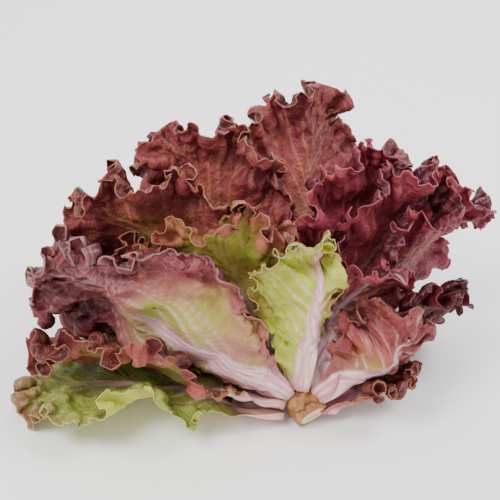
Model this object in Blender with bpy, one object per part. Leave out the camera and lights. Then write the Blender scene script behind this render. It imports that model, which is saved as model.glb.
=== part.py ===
"""Lollo rosso lettuce: one cut head that lies on its side.

The head is a short stem with a cut stump, large frilled leaves around it, and a heart of small leaves.
Each large leaf is a closed solid of its own. The heart's leaves are fused to their core.
Units are metres, and +Z is up.
"""

import math
from collections import namedtuple

import bpy
import numpy as np
from mathutils import Vector

MM = 0.001

# The stem: a stump below the lowest leaf, and the tapered stem that the leaves grow from.
STUMP_RADIUS = 12.0 * MM
STUMP_LENGTH = 18.0 * MM
STUMP_BULGE = 0.9 * MM
STUMP_AXIS = Vector((0.497, -0.770, -0.396))
STEM_TOP_RADIUS = 5.0 * MM
STEM_LENGTH = 46.0 * MM
STEM_SIDES = 28
STUMP_RINGS = 9
STEM_RINGS = 5
SCARS = 7
SCAR_HEIGHT = 0.9 * MM
SCAR_TURN = math.radians(137.5)
SCAR_SEED = 5
STEM_INSET = 2.0 * MM
GAP = 0.5 * MM

# How the head lies: its axis rises from the stump towards the back and leans a little to the left. The head's
# frame is left-handed, so normals that are worked out in the world point the other way.
AXIS_RISE = math.radians(36)
AXIS_LEAN = math.radians(10)
COLLAR_HEIGHT = 14.8 * MM
WORLD_HAND = -1.0
FLOOR_DROP = math.radians(11)
LIMIT_POWER = 5.0
EASE_FROM = 14.0 * MM
EASE_OVER = 11.0 * MM
EASE_SLOPE = 0.24
EASE_RADIUS = (20.0 * MM, 52.0 * MM)
PRESSED = 1.45 * MM
REST_LEAF = "leaf_under_right"
REST_PRESSED = 2.6 * MM

# What all leaves share. Shares are of a leaf's length or half width.
BLADE_THICKNESS = 0.9 * MM
RIB_THICKNESS = 4.2 * MM
RIB_HALF_WIDTH = 5.0 * MM
WIDEST_AT = 0.50
WIDEST_HEIGHT = 0.64
RIB_REACH = 0.93
BASE_HALF_WIDTH = (4.0, 0.02)
BASE_BEND = 34.0 * MM
BASE_LEAN = math.radians(24)
FAN_ORIGIN = 16.0 * MM
MOST_WRAP = 1.7
MARGIN_STEPS = 34
HEART_MARGIN_STEPS = 26
RIB_TO_MARGIN = (0.0, 0.16, 0.46, 0.76, 1.0)

# How leaves are laid over each other: a map of the outermost lean at each azimuth and distance from the apex,
# a point on the axis below the collar.
APEX = 26.0 * MM
LAYER_CLEARANCE = 2.5 * MM
MAP_AZIMUTHS = 240
MAP_STEP = 2.5 * MM
MAP_REACH = 290.0 * MM
SAMPLES_ACROSS = 6
CLEARING_ROUNDS = 5

Leaf = namedtuple("Leaf", "name azimuth sway lean height length half_width curl frill calm seed skew",
                  defaults=(0.0,))

# Azimuth goes round the head's axis from its upper side, positive to the right, and sway adds to it towards the
# tip. Lean is from the axis, and curl adds to it towards the tip. Calm is the side (-1 or 1) whose margin waves
# little. Skew widens its right half and narrows its left one by that share. Angles are in degrees and sizes in
# millimetres. The outermost leaf comes first.
LEAVES = (
    Leaf("leaf_left_floor", -95, -4, 104, 0, 170, 58, 4, 10, 0, 1),
    Leaf("leaf_right_floor", 95, 0, 104, 0, 68, 34, 4, 5, 0, 2),
    Leaf("leaf_right_front_low", 58, 2, 74, 6, 84, 26, 22, 5, 0, 4),
    Leaf("leaf_right_low", 88, 0, 78, 5, 116, 50, 8, 8, 0, 18),
    Leaf("leaf_left_low", -74, -12, 80, 4, 160, 50, 6, 12, 0, 19),
    Leaf("leaf_left_front", -46, -26, 60, 6, 170, 74, 8, 13, 1, 3),
    Leaf("leaf_under_right", 150, 0, 64, 5, 140, 54, 0, 8, 0, 5),
    Leaf("leaf_under_left", -140, 0, 64, 6, 168, 60, 0, 8, 0, 6),
    Leaf("leaf_centre_front", 15, -2, 56, 10, 118, 24, 46, 6, 0, 7, -0.6),
    Leaf("leaf_right_front", 39, 8, 66, 12, 98, 34, 40, 7, 0, 8),
    Leaf("leaf_centre_upper", -22, -6, 54, 14, 134, 50, 30, 13, 0, 14),
    Leaf("leaf_right_side", 88, 0, 57, 13, 160, 56, 12, 13, 0, 9),
    Leaf("leaf_left_side", -86, 4, 56, 14, 162, 62, 8, 12, 0, 10),
    Leaf("leaf_right_upper", 70, 2, 49, 18, 150, 54, 14, 12, 0, 11),
    Leaf("leaf_left_upper", -52, 0, 50, 19, 166, 64, 16, 13, 0, 12),
    Leaf("leaf_back_low", 178, 0, 34, 17, 160, 62, 8, 9, 0, 13),
    Leaf("leaf_right_inner", 52, 2, 40, 24, 140, 50, 22, 12, 0, 20),
    Leaf("leaf_back_right", 118, 0, 26, 27, 138, 50, 12, 11, 0, 15),
    Leaf("leaf_left_inner", -36, 4, 32, 24, 158, 54, 14, 12, 0, 21),
    Leaf("leaf_back_left", -90, 0, 20, 29, 162, 54, 10, 11, 0, 16),
    Leaf("leaf_top", 48, 0, 18, 33, 160, 60, 18, 12, 0, 17),
)
GREEN_LEAVES = ("leaf_left_floor", "leaf_left_front", "leaf_centre_front", "leaf_right_front", "leaf_right_front_low")
WAVES = 8
CALM_SHARE = 0.8

# The heart: rings of small leaves fused to a core on the stem's tip. Each ring gives its count, first azimuth,
# lean, height, length, half width and frill.
HEART_RINGS = ((2, 20, 12, 53, 84, 13, 2), (3, 80, 18, 51, 98, 18, 3))
HEART_CURL = 8
HEART_ROOT = 4.2 * MM
HEART_WRAP = 1.3
HEART_RIB = 0.35
CORE_RADIUS = 7.0 * MM
CORE_HEIGHT = 16.0 * MM
CORE_RINGS = 4
CORE_SIDES = 12


def smooth(t):
    """0 to 1 with level ends."""
    t = np.clip(t, 0.0, 1.0)
    return t * t * (3.0 - 2.0 * t)


def head_axes():
    """The head's frame in the world: the side, upper and axis directions as the columns of a matrix."""
    axis = Vector((
        -math.sin(AXIS_LEAN),
        math.cos(AXIS_LEAN) * math.cos(AXIS_RISE),
        math.cos(AXIS_LEAN) * math.sin(AXIS_RISE),
    ))
    side = Vector((1.0, 0.0, 0.0))
    side = (side - axis * side.dot(axis)).normalized()
    upper = side.cross(axis)
    return np.array([side, upper, axis]).T


HEAD = head_axes()


def to_world(points):
    """Points of the head's frame, whose origin is the collar, in the world."""
    return points @ HEAD.T + np.array([0.0, 0.0, COLLAR_HEIGHT])


def ease_floor(points):
    """Flattens what would go below the surface, so that it lies in thin layers in the same order."""
    below = np.minimum(points[..., 2] - EASE_FROM, 0.0)
    rise = (1.0 - EASE_SLOPE) * (EASE_OVER * (np.exp(below / EASE_OVER) - 1.0) - below)
    away = np.hypot(points[..., 0], points[..., 1])
    eased = points.copy()
    eased[..., 2] += rise * smooth((away - EASE_RADIUS[0]) / (EASE_RADIUS[1] - EASE_RADIUS[0]))
    return eased


def floor_limit(azimuth):
    """The lean at which a leaf of this azimuth meets the surface that the head lies on."""
    along = HEAD[2, 2]
    across = HEAD[2, 0] * np.sin(azimuth) + HEAD[2, 1] * np.cos(azimuth)
    reach = np.hypot(along, across)
    return np.arctan2(across, along) + np.arccos(np.clip(-math.sin(FLOOR_DROP) / reach, -1.0, 1.0))


def stem_radius(height):
    """The radius at a height above the collar that the leaves grow from."""
    return STUMP_RADIUS + (STEM_TOP_RADIUS - STUMP_RADIUS) * np.clip(height / STEM_LENGTH, 0.0, 1.0)


def lean_at(leaf, run, azimuth):
    """The lean of a leaf at a distance along it, eased so that it doesn't pass the floor's limit."""
    length = leaf.length * MM
    lean = math.radians(leaf.lean)
    start = min(BASE_LEAN, lean)
    wanted = start + (lean - start) * smooth(run / BASE_BEND)
    wanted = wanted + math.radians(leaf.curl) * smooth((run / length - 0.45) / 0.6)
    limit = floor_limit(azimuth)
    return wanted / (1.0 + (wanted / limit) ** LIMIT_POWER) ** (1.0 / LIMIT_POWER)


def shell_point(leaf, across, along):
    """A point of the flat leaf, bent round the head's axis, in the head's frame."""
    steps = 24
    run = np.hypot(across, along + FAN_ORIGIN) - FAN_ORIGIN
    swing = np.arctan2(across, along + FAN_ORIGIN) * (run + FAN_ORIGIN)
    height = leaf.height * MM
    in_heart = height > STEM_LENGTH
    root = HEART_ROOT if in_heart else stem_radius(height) + GAP + 0.5 * BLADE_THICKNESS
    most_wrap = HEART_WRAP if in_heart else MOST_WRAP
    centre = math.radians(leaf.azimuth)

    def path(azimuth):
        out = np.zeros_like(run)
        up = np.zeros_like(run)
        for step in range(steps):
            lean = lean_at(leaf, run * (step + 0.5) / steps, azimuth)
            out += np.sin(lean) * run / steps
            up += np.cos(lean) * run / steps
        return out + root, up + height

    middle_out, _ = path(np.full_like(run, centre))
    wrap = most_wrap * np.tanh(swing / middle_out / most_wrap)
    azimuth = centre + math.radians(leaf.sway) * smooth(run / (leaf.length * MM)) + wrap
    out, up = path(azimuth)
    return np.stack([out * np.sin(azimuth), out * np.cos(azimuth), up], axis=-1)


def outline(share):
    """The leaf's margin from tip (0) to base (1), as shares of the half width and of the length."""
    top = share / WIDEST_AT
    low = (share - WIDEST_AT) / (1.0 - WIDEST_AT)
    across = np.where(share < WIDEST_AT, np.sin(0.5 * math.pi * np.clip(top, 0, 1)),
                      0.5 + 0.5 * np.cos(math.pi * np.clip(low, 0, 1)))
    along = np.where(share < WIDEST_AT,
                     WIDEST_HEIGHT + (1 - WIDEST_HEIGHT) * np.cos(0.5 * math.pi * np.clip(top, 0, 1)),
                     WIDEST_HEIGHT * (1 - np.clip(low, 0, 1)))
    return across, along


def flat_leaf(leaf, turn, rise):
    """The flat leaf: turn runs round the margin from -1 to 1, rise from the rib (0) to the margin (1)."""
    share = np.abs(turn)
    across, along = outline(share)
    base = min(BASE_HALF_WIDTH[0] + BASE_HALF_WIDTH[1] * leaf.length, 0.25 * leaf.half_width) * MM
    margin_across = base + (leaf.half_width * MM - base) * across
    margin_across = np.where(share < WIDEST_AT, leaf.half_width * MM * across, margin_across)
    margin_along = leaf.length * MM * along
    rib_along = leaf.length * MM * RIB_REACH * (1 - share) ** 1.2
    x = (np.sign(turn) + leaf.skew * np.abs(np.sign(turn))) * margin_across * rise
    y = rib_along + (margin_along - rib_along) * rise
    return x, y


def unit(vectors):
    return vectors / np.maximum(np.linalg.norm(vectors, axis=-1, keepdims=True), 1e-12)


def normals_of(points, hand=1.0):
    """Unit normals of a leaf's grid of points, towards its outer side, and the directions round its margin."""
    around = unit(np.gradient(points, axis=0))
    normal = unit(np.cross(np.gradient(points, axis=1), around)) * hand
    # Columns meet along the rib, where the normal is that of both halves beside it.
    normal[:, 0] = unit(normal[:, 1] + normal[::-1, 1])
    return normal, around


def ruffle(points, leaf, turn, rise):
    """The margin's large waves: across the blade, and a little along the margin so that they lean over."""
    normal, around = normals_of(points)
    rng = np.random.default_rng(leaf.seed)
    start, drift, swell = rng.uniform(0, 2 * math.pi, 3)
    phase = math.pi * WAVES * turn + start + 0.7 * np.sin(2.2 * math.pi * turn + drift)
    size = leaf.frill * MM * smooth((rise - 0.15) / 0.85) * (1 - np.abs(turn) ** 5)
    size = size * (1 - CALM_SHARE * smooth(leaf.calm * turn / 0.4))
    size = size * (0.85 + 0.3 * np.sin(3.1 * math.pi * turn + swell))
    wave = np.sin(phase)[..., None] * normal
    lean_over = -0.28 * np.sin(2 * phase)[..., None] * around
    return points + size[..., None] * (wave + lean_over)


def bent_leaf(leaf, steps):
    """The leaf's middle surface before it is laid over others, in the head's frame, and its rib's thickness."""
    turn, rise = np.meshgrid(np.linspace(-1, 1, steps + 1), RIB_TO_MARGIN, indexing="ij")
    across, along = flat_leaf(leaf, turn, rise)
    points = ruffle(shell_point(leaf, across, along), leaf, turn, rise)
    weld_rib(points)
    far = np.clip(along / (leaf.length * MM), 0, 1)
    rib_width = RIB_HALF_WIDTH * (1.25 - 0.9 * far)
    rib = (RIB_THICKNESS - BLADE_THICKNESS) * (1 - far) ** 1.3 * np.exp(-((across / rib_width) ** 2))
    return points, rib if leaf in LEAVES else rib * HEART_RIB


def faces_of(points, rib, hand=1.0):
    """The outer and the inner face of a leaf's middle surface."""
    normal, _ = normals_of(points, hand)
    return points + normal * (0.5 * BLADE_THICKNESS + rib)[..., None], points - normal * (0.5 * BLADE_THICKNESS)


def finer(grid):
    """A grid of points with more points between them, on the straight lines that join them."""
    for axis in (0, 1):
        count = grid.shape[axis] - 1
        place = np.linspace(0, count, count * SAMPLES_ACROSS + 1)
        low = np.minimum(place.astype(int), count - 1)
        share = (place - low).reshape([-1 if a == axis else 1 for a in range(3)])
        grid = np.take(grid, low, axis) * (1 - share) + np.take(grid, low + 1, axis) * share
    return grid


def polar(points):
    """Azimuth, distance and lean, seen from the apex, of points of the head's frame."""
    out = np.hypot(points[..., 0], points[..., 1])
    up = points[..., 2] + APEX
    return np.arctan2(points[..., 0], points[..., 1]), np.hypot(out, up), np.arctan2(out, up)


def from_polar(azimuth, distance, lean):
    out = distance * np.sin(lean)
    return np.stack([out * np.sin(azimuth), out * np.cos(azimuth), distance * np.cos(lean) - APEX], axis=-1)


def cell_of(azimuth, distance):
    turn = np.floor(azimuth / (2 * math.pi) * MAP_AZIMUTHS).astype(int) % MAP_AZIMUTHS
    return turn, np.minimum((distance / MAP_STEP).astype(int), int(MAP_REACH / MAP_STEP) - 1)


def lay_over(layers, points, rib):
    """Bends a leaf outwards until it is clear of the leaves inside it."""
    for _ in range(CLEARING_ROUNDS):
        azimuth, distance, lean = polar(finer(faces_of(points, rib)[1]))
        wanted = layers[cell_of(azimuth, distance)] + LAYER_CLEARANCE / distance
        short = np.maximum(wanted - lean, 0.0)[:-1, :-1]
        columns, rows = points.shape[0] - 1, points.shape[1] - 1
        short = short.reshape(columns, SAMPLES_ACROSS, rows, SAMPLES_ACROSS).max(axis=(1, 3))
        padded = np.pad(short, 1)
        push = np.maximum(np.maximum(padded[:-1, :-1], padded[1:, :-1]), np.maximum(padded[:-1, 1:], padded[1:, 1:]))
        azimuth, distance, lean = polar(points)
        points = from_polar(azimuth, distance, lean + push)
        weld_rib(points)
    return points


def add_layer(layers, points, rib):
    """Marks where a leaf's outer face reaches, a cell to each side too."""
    azimuth, distance, lean = polar(finer(faces_of(points, rib)[0]))
    turn, step = cell_of(azimuth, distance)
    for a in (-1, 0, 1):
        for b in (-1, 0, 1):
            cells = ((turn + a) % MAP_AZIMUTHS, np.clip(step + b, 0, layers.shape[1] - 1))
            np.maximum.at(layers, cells, lean)


def stem_layer():
    """A map with only the stem and the heart's core in it. Leaves may lie closer to these than to each other."""
    layers = np.zeros((MAP_AZIMUTHS, int(MAP_REACH / MAP_STEP)))
    heights = np.linspace(0, STEM_LENGTH + CORE_HEIGHT, 200)
    radii = np.where(heights > STEM_LENGTH, CORE_RADIUS, stem_radius(heights)) + GAP - LAYER_CLEARANCE
    _, step = cell_of(0.0, np.hypot(radii, heights + APEX))
    for k in (-1, 0, 1):
        np.maximum.at(layers, (slice(None), step + k), np.arctan2(radii, heights + APEX))
    return layers


def weld_rib(grid):
    """The two halves of the leaf meet along the rib, so mirrored columns share their first row."""
    middle = 0.5 * (grid[:, 0] + grid[::-1, 0])
    grid[:, 0] = middle


def leaf_mesh(name, outer, inner):
    """A closed solid: an outer and an inner sheet with the same triangles, joined by a rim."""
    columns, rows = outer.shape[:2]
    index = np.full((columns, rows), -1)
    order = []
    for i in range(columns):
        for k in range(rows):
            mirror = columns - 1 - i
            if k == 0 and mirror < i:
                index[i, k] = index[mirror, k]
            else:
                index[i, k] = len(order)
                order.append((i, k))
    picked = tuple(np.array(order).T)
    count = len(order)
    corners = np.concatenate([outer[picked], inner[picked]])
    faces = []
    for i in range(columns - 1):
        for k in range(rows - 1):
            a, b, c, d = index[i, k], index[i + 1, k], index[i + 1, k + 1], index[i, k + 1]
            halves = ((a, c, b), (a, d, c)) if (i + k) % 2 else ((a, d, b), (b, d, c))
            for half in halves:
                if len(set(half)) == 3:
                    faces.append(tuple(reversed(half)))
                    faces.append(tuple(count + v for v in half))
    edge = [index[i, rows - 1] for i in range(columns)]
    edge += [index[columns - 1, k] for k in range(rows - 2, -1, -1)]
    edge += [index[0, k] for k in range(1, rows - 1)]
    for a, b in zip(edge, edge[1:] + edge[:1]):
        faces.append((a, b, count + a))
        faces.append((b, count + b, count + a))
    mesh = bpy.data.meshes.new(name)
    mesh.from_pydata(corners.tolist(), [], [tuple(int(v) for v in face) for face in faces])
    mesh.validate()
    return mesh


def add_object(name, mesh, material):
    obj = bpy.data.objects.new(name, mesh)
    bpy.context.scene.collection.objects.link(obj)
    obj.data.materials.append(material)
    return obj


def make_material(name, colour, roughness):
    material = bpy.data.materials.new(name)
    material.use_nodes = True
    shader = material.node_tree.nodes["Principled BSDF"]
    shader.inputs["Base Color"].default_value = (*colour, 1.0)
    shader.inputs["Roughness"].default_value = roughness
    return material


def clear_scene():
    for obj in list(bpy.data.objects):
        bpy.data.objects.remove(obj)


def make_leaf(leaf, layers, steps, material):
    points, rib = bent_leaf(leaf, steps)
    if leaf in LEAVES:
        points = lay_over(layers, points, rib)
    add_layer(layers, points, rib)
    outer, inner = faces_of(ease_floor(to_world(points)), rib, WORLD_HAND)
    return add_object(leaf.name, leaf_mesh(leaf.name, outer, inner), material)


def loft(name, rings, bottom, top, material):
    """A closed solid of rings of points, each in the same turning order, with a point at both ends."""
    sides = len(rings[0])
    corners = [tuple(point) for ring in rings for point in ring] + [tuple(bottom), tuple(top)]
    faces = []
    for k in range(len(rings) - 1):
        for i in range(sides):
            a, b = k * sides + i, k * sides + (i + 1) % sides
            faces.append((a, b + sides, b))
            faces.append((a, a + sides, b + sides))
    last = (len(rings) - 1) * sides
    for i in range(sides):
        faces.append((len(corners) - 2, i, (i + 1) % sides))
        faces.append((len(corners) - 1, last + (i + 1) % sides, last + i))
    mesh = bpy.data.meshes.new(name)
    mesh.from_pydata(corners, [], faces)
    return add_object(name, mesh, material)


def scar_field(turn, height):
    """The height of the leaf scars on the stump: rounded pads whose lower edges stand out."""
    rng = np.random.default_rng(SCAR_SEED)
    field = np.zeros_like(turn)
    for i in range(SCARS):
        centre = i * SCAR_TURN + rng.uniform(-0.2, 0.2)
        level = -STUMP_LENGTH * (0.12 + 0.62 * i / (SCARS - 1))
        aside = (np.mod(turn - centre + math.pi, 2 * math.pi) - math.pi) / rng.uniform(0.75, 1.0)
        above = (height - level) / (0.30 * STUMP_LENGTH)
        pad = np.clip(1 - aside ** 2, 0, 1) ** 0.5 * np.where(above < 0, smooth(1 + 4 * above), smooth(1 - above))
        field = np.maximum(field, pad)
    return field * SCAR_HEIGHT


def make_stump(material):
    """The stem: its stump turns aside from the head's axis below the collar, and ends in a flat cut."""
    turns = np.linspace(0, 2 * math.pi, STEM_SIDES, endpoint=False)
    out = np.array(HEAD).T @ np.array(STUMP_AXIS.normalized())
    rings = []
    levels = [-STUMP_LENGTH * k / STUMP_RINGS for k in range(STUMP_RINGS, 0, -1)]
    levels += [STEM_LENGTH * k / STEM_RINGS for k in range(STEM_RINGS + 1)]
    for level in levels:
        turned = smooth(-level / (0.35 * STUMP_LENGTH))
        axis = unit(np.array([0.0, 0.0, 1.0]) * (1 - turned) - out * turned)
        centre = axis * level if level < 0 else np.array([0.0, 0.0, level])
        side = unit(np.array([1.0, 0.0, 0.0]) - axis * axis[0])
        upper = np.cross(axis, side)
        radius = np.full_like(turns, stem_radius(level))
        if level > 0:
            radius = radius - STEM_INSET
        else:
            radius = radius - STUMP_BULGE * (1 - np.sin(math.pi * -level / STUMP_LENGTH) ** 0.5)
            radius = radius + scar_field(turns, np.full_like(turns, level)) - SCAR_HEIGHT
        rings.append(centre + radius[:, None] * (np.cos(turns)[:, None] * side + np.sin(turns)[:, None] * upper))
    ends = [rings[0].mean(axis=0), rings[-1].mean(axis=0)]
    rings = [to_world(ring) for ring in rings]
    return loft("stump", rings, to_world(ends[0]), to_world(ends[1]), material)


def make_heart(layers, material):
    """Small leaves round a core on the stem's tip, joined into one solid."""
    turns = np.linspace(0, 2 * math.pi, CORE_SIDES, endpoint=False)
    rings = []
    for k in range(CORE_RINGS):
        share = k / (CORE_RINGS - 1)
        radius = CORE_RADIUS * (1 - 0.45 * share ** 2)
        ring = np.stack([np.cos(turns) * radius, np.sin(turns) * radius,
                         np.full_like(turns, STEM_LENGTH + GAP + CORE_HEIGHT * share)], axis=-1)
        rings.append(to_world(ring))
    heart = loft("heart", rings, rings[0].mean(axis=0), rings[-1].mean(axis=0), material)
    group = bpy.data.collections.new("heart leaves")
    bpy.context.scene.collection.children.link(group)
    seed = 40
    for count, first, lean, height, length, half_width, frill in HEART_RINGS:
        for i in range(count):
            seed += 1
            leaf = Leaf("heart leaf", first + 360 / count * i, 0, lean, height, length, half_width, HEART_CURL,
                        frill, 0, seed)
            piece = make_leaf(leaf, layers, HEART_MARGIN_STEPS, material)
            bpy.context.scene.collection.objects.unlink(piece)
            group.objects.link(piece)
    union = heart.modifiers.new("union", "BOOLEAN")
    union.operation = "UNION"
    union.solver = "EXACT"
    union.operand_type = "COLLECTION"
    union.collection = group
    joined = bpy.data.meshes.new_from_object(heart.evaluated_get(bpy.context.evaluated_depsgraph_get()))
    heart.modifiers.clear()
    heart.data = joined
    for piece in list(group.objects):
        bpy.data.objects.remove(piece)
    bpy.data.collections.remove(group)


def stand_on_surface():
    """Puts the origin under the middle of the object, and presses its lowest spots flat on the surface."""
    objects = [obj for obj in bpy.data.objects if obj.type == "MESH"]
    corners = np.array([vertex.co for obj in objects for vertex in obj.data.vertices])
    low, high = corners.min(axis=0), corners.max(axis=0)
    shift = Vector((-0.5 * (low[0] + high[0]), -0.5 * (low[1] + high[1]), -low[2] - PRESSED))
    for obj in objects:
        facing = [vertex.normal.z for vertex in obj.data.vertices]
        for vertex, up in zip(obj.data.vertices, facing):
            moved = vertex.co + shift
            if moved.z < (REST_PRESSED if obj.name == REST_LEAF and up < -0.5 else 0.0):
                moved.z = 0.0
            if up > 0.5:
                moved.z = max(moved.z, BLADE_THICKNESS)
            vertex.co = moved


def main():
    clear_scene()
    red = make_material("red lettuce leaf", (0.20, 0.05, 0.06), 0.45)
    green = make_material("green lettuce leaf", (0.42, 0.36, 0.20), 0.5)
    dark = make_material("dark heart leaf", (0.10, 0.02, 0.03), 0.4)
    cut = make_material("cut lettuce stump", (0.58, 0.40, 0.24), 0.7)
    make_stump(cut)
    layers = stem_layer()
    make_heart(layers, dark)
    for leaf in reversed(LEAVES):
        make_leaf(leaf, layers, MARGIN_STEPS, green if leaf.name in GREEN_LEAVES else red)
    stand_on_surface()


main()
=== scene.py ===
"""Lollo rosso lettuce: one cut head on its side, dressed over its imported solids. Metres, +Z up."""

import math

import bpy
import numpy as np
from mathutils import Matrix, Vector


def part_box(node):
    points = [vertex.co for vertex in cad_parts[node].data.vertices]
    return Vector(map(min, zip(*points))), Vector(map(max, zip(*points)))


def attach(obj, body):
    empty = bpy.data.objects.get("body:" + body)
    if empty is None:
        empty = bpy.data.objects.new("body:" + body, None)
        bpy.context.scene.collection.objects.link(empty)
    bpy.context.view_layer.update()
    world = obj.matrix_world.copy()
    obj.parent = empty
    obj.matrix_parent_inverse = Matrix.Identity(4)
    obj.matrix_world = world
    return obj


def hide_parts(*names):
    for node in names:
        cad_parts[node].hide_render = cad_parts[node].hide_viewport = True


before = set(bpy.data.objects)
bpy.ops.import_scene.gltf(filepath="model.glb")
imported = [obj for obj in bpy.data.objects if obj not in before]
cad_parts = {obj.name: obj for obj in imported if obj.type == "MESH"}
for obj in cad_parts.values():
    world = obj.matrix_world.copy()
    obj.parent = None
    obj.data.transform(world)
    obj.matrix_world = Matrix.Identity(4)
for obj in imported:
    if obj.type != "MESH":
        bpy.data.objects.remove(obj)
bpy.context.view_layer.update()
MM = 0.001


# The leaves' lie
# A head of lettuce is a stem with leaves laid over each other, the outermost lowest on the stem. Each leaf's
# middle surface is worked out here as a coarse grid, just as the solids have it, and made fine further down.

# The head's axis rises from the surface and leans to the left. Stem and stump meet at the collar.
AXIS_RISE = math.radians(36)
AXIS_LEAN = math.radians(10)
COLLAR_HEIGHT = 14.8 * MM
STEM_RADIUS = 12.0 * MM
STEM_TOP_RADIUS = 5.0 * MM
STEM_LENGTH = 46.0 * MM
CORE_RADIUS = 7 * MM
CORE_HEIGHT = 16 * MM
ROOT_GAP = 0.5 * MM
# A leaf of the solids: its blade, its rib, its outline and its grid.
CAD_BLADE = 0.9 * MM
CAD_RIB = 4.2 * MM
RIB_HALF_WIDTH = 5.0 * MM
RIB_REACH = 0.93
WIDEST_AT = 0.50
WIDEST_HEIGHT = 0.64
BASE_HALF_WIDTH = (4.0, 0.02)
FAN_ORIGIN = 16 * MM
ROWS = np.array([0.0, 0.16, 0.46, 0.76, 1.0])
MARGIN_STEPS = 34
HEART_MARGIN_STEPS = 26
# How a leaf leaves the stem, and how it wraps and waves.
BASE_LEAN = math.radians(24)
BASE_BEND = 34 * MM
BEND_STEPS = 24
MOST_WRAP = 1.7
WAVES = 8
CALM_SHARE = 0.8
HEART_ROOT = 4.2 * MM
HEART_WRAP = 1.3
HEART_RIB = 0.35
HEART_CURL = 8
HEART_SEED = 40
# The surface stops a leaf that goes down too steeply, and what would still go below it is eased flat.
FLOOR_DROP = math.radians(11)
LIMIT_POWER = 5.0
EASE_FROM = 14 * MM
EASE_OVER = 11 * MM
EASE_SLOPE = 0.24
EASE_RADIUS = (20 * MM, 52 * MM)
# A map of how far out the leaves reach: turns round the axis by steps of distance from a point below the
# collar.
APEX = 26.0 * MM
MAP_SIZE = (240, 116)
MAP_STEP = 2.5 * MM
LAYER_CLEARANCE = 2.5 * MM
CLEARING_ROUNDS = 5
SAMPLES = 6
# The head's own frame is left-handed, so in the world normals are turned round.
WORLD_HAND = -1.0

# Name: azimuth round the axis, sway, lean, height on the stem, length, half width, curl, wave height, calm
# side and seed, and for one leaf the share of its half width by which it is shifted.
leaves = {
    "leaf_left_floor": (-95, -4, 104, 0, 170, 58, 4, 10, 0, 1),
    "leaf_right_floor": (95, 0, 104, 0, 68, 34, 4, 5, 0, 2),
    "leaf_right_front_low": (58, 2, 74, 6, 84, 26, 22, 5, 0, 4),
    "leaf_right_low": (88, 0, 78, 5, 116, 50, 8, 8, 0, 18),
    "leaf_left_low": (-74, -12, 80, 4, 160, 50, 6, 12, 0, 19),
    "leaf_left_front": (-46, -26, 60, 6, 170, 74, 8, 13, 1, 3),
    "leaf_under_right": (150, 0, 64, 5, 140, 54, 0, 8, 0, 5),
    "leaf_under_left": (-140, 0, 64, 6, 168, 60, 0, 8, 0, 6),
    "leaf_centre_front": (15, -2, 56, 10, 118, 24, 46, 6, 0, 7, -0.6),
    "leaf_right_front": (39, 8, 66, 12, 98, 34, 40, 7, 0, 8),
    "leaf_centre_upper": (-22, -6, 54, 14, 134, 50, 30, 13, 0, 14),
    "leaf_right_side": (88, 0, 57, 13, 160, 56, 12, 13, 0, 9),
    "leaf_left_side": (-86, 4, 56, 14, 162, 62, 8, 12, 0, 10),
    "leaf_right_upper": (70, 2, 49, 18, 150, 54, 14, 12, 0, 11),
    "leaf_left_upper": (-52, 0, 50, 19, 166, 64, 16, 13, 0, 12),
    "leaf_back_low": (178, 0, 34, 17, 160, 62, 8, 9, 0, 13),
    "leaf_right_inner": (52, 2, 40, 24, 140, 50, 22, 12, 0, 20),
    "leaf_back_right": (118, 0, 26, 27, 138, 50, 12, 11, 0, 15),
    "leaf_left_inner": (-36, 4, 32, 24, 158, 54, 14, 12, 0, 21),
    "leaf_back_left": (-90, 0, 20, 29, 162, 54, 10, 11, 0, 16),
    "leaf_top": (48, 0, 18, 33, 160, 60, 18, 12, 0, 17),
}
# Rings of small leaves: count, first azimuth, lean, height on the stem, length, half width and wave height.
HEART_RINGS = ((2, 20, 12, 53, 84, 13, 2), (3, 80, 18, 51, 98, 18, 3))
heart_leaves = {}
for count, first, lean, height, length, half_width, frill in HEART_RINGS:
    for i in range(count):
        number = len(heart_leaves) + 1
        azimuth = first + 360 / count * i
        heart_leaves["heart_leaf_%d" % number] = (
            azimuth, 0, lean, height, length, half_width, HEART_CURL, frill, 0, HEART_SEED + number)


def smooth(t):
    t = np.clip(t, 0.0, 1.0)
    return t * t * (3.0 - 2.0 * t)


def unit(vectors):
    return vectors / np.maximum(np.linalg.norm(vectors, axis=-1, keepdims=True), 1e-12)


axis = np.array([-math.sin(AXIS_LEAN), math.cos(AXIS_LEAN) * math.cos(AXIS_RISE),
                 math.cos(AXIS_LEAN) * math.sin(AXIS_RISE)])
side = unit(np.array([1.0, 0.0, 0.0]) - axis * axis[0])
HEAD = np.array([side, np.cross(side, axis), axis]).T


def to_world(points):
    return points @ HEAD.T + np.array([0.0, 0.0, COLLAR_HEIGHT])


def round_axis(azimuth, out, up):
    """Points in the head's frame, by azimuth, distance out from the axis and height along it."""
    return np.stack([out * np.sin(azimuth), out * np.cos(azimuth), up], axis=-1)


def ease_floor(points):
    """What would go below the surface lies in thin layers on it."""
    below = np.minimum(points[..., 2] - EASE_FROM, 0.0)
    rise = (1 - EASE_SLOPE) * (EASE_OVER * (np.exp(below / EASE_OVER) - 1.0) - below)
    from_middle = np.hypot(points[..., 0], points[..., 1])
    eased = points.copy()
    eased[..., 2] += rise * smooth((from_middle - EASE_RADIUS[0]) / (EASE_RADIUS[1] - EASE_RADIUS[0]))
    return eased


def stem_radius(height):
    return STEM_RADIUS + (STEM_TOP_RADIUS - STEM_RADIUS) * np.clip(height / STEM_LENGTH, 0.0, 1.0)


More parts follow.
